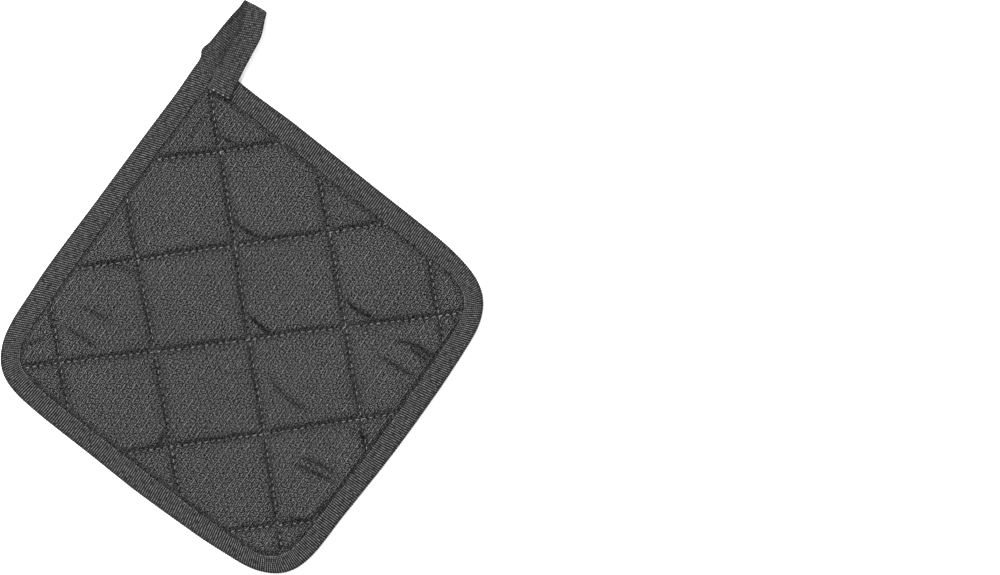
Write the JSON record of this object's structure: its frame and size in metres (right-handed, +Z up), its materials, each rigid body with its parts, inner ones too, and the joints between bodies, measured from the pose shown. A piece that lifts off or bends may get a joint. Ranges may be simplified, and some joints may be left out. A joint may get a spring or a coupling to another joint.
{
  "type": "pot holder",
  "caption": "Square quilted cotton pot holder, sewn in diamonds, with a ribbed tape round its edge and a folded tape loop at one corner to hang it by.",
  "frame": {"origin": "on the surface under the middle of the whole object's box, loop included; the middle of the pad itself is 20.4 mm towards -Y and 0.6 mm towards +X", "axes": "+Z up, out of the front of the pad; +Y from the middle towards the corner with the hanging loop, so the four sides run at about 45 degrees to X and Y; +X to the right, seen from above"},
  "size_m": [0.2552, 0.2992, 0.0115],
  "materials": {
    "quilted_cloth": "matt dark grey cotton with a small textured weave",
    "ribbed_tape": "dark grey woven tape with fine ribs across it",
    "stitching": "grey sewing thread"
  },
  "bodies": {
    "root": {"quilted_pad": "quilted_cloth", "edge_binding": "ribbed_tape", "hanging_loop": "ribbed_tape"}
  },
  "joints": []
}
